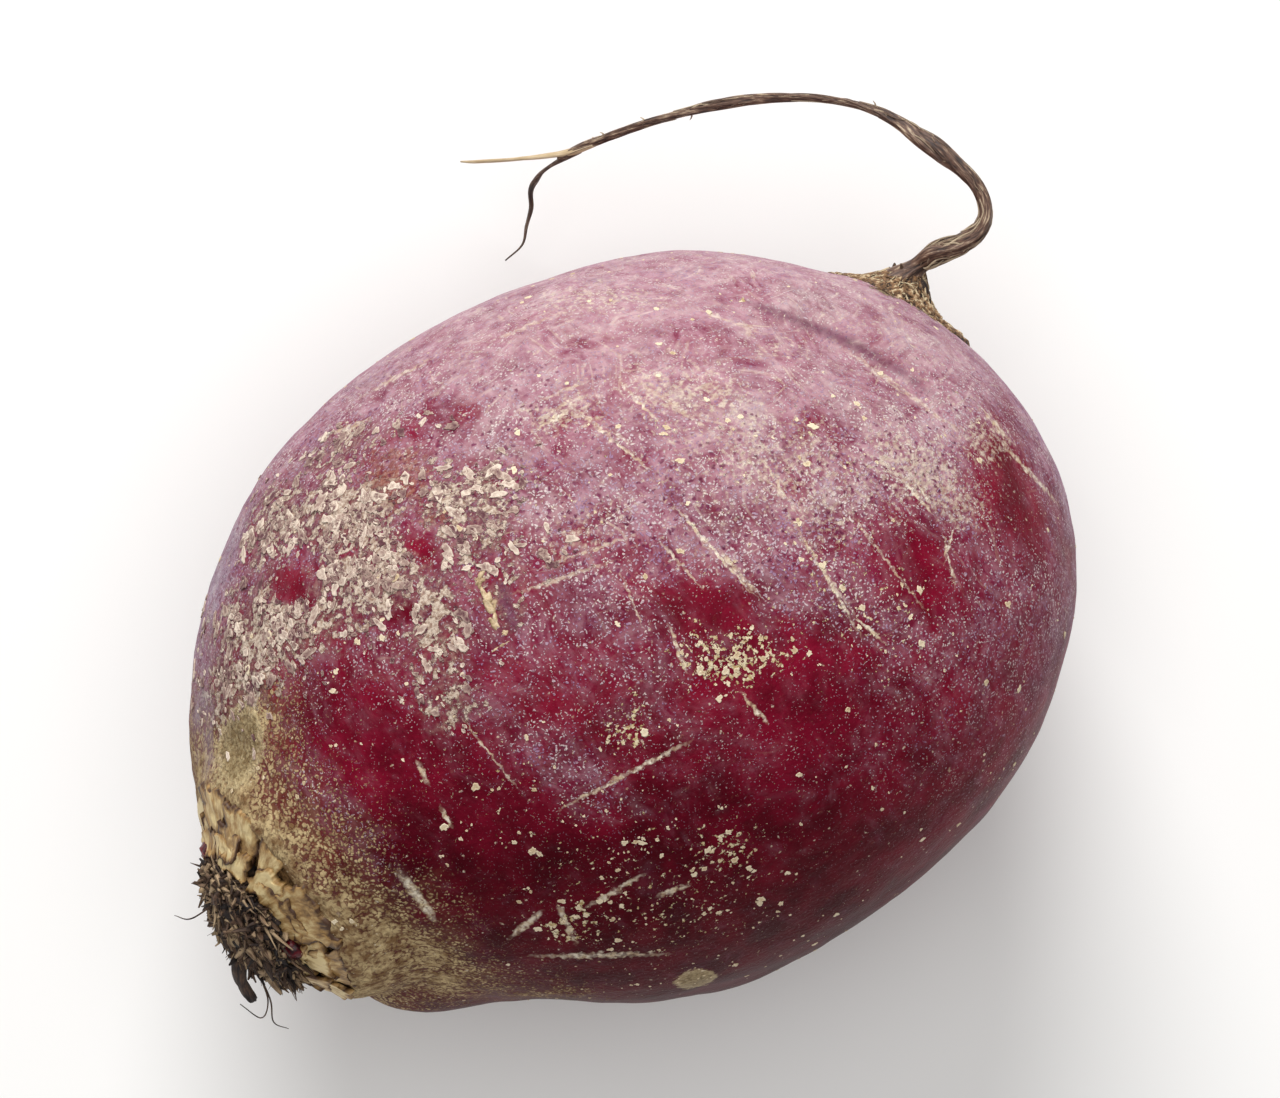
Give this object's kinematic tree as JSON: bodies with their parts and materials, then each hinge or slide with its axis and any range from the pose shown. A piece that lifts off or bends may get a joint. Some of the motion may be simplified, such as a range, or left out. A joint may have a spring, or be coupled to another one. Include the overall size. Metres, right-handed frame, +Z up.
{
  "type": "beetroot",
  "caption": "Whole purple-red beetroot lying on its side, with a scaly tan crown, torn leaf-stalk stubs and a long curled, forked wiry taproot.",
  "frame": {"origin": "middle of the small flat spot that the beetroot rests on", "axes": "+X from the leaf crown to the taproot, +Y the side that the taproot curls back along, +Z up"},
  "size_m": [0.1156, 0.0893, 0.0732],
  "materials": {
    "beet_skin": "deep wine-red skin with a dull mauve bloom, tan corky scurf and fine pale scratches; half matt",
    "leaf_base": "dry, tan, papery torn plates",
    "leaf_stalk": "dark brown shredded dry fibre"
  },
  "bodies": {
    "root": {"root": "beet_skin", "leaf_scales": "leaf_base", "stalk_stubs": "leaf_stalk"}
  },
  "joints": []
}
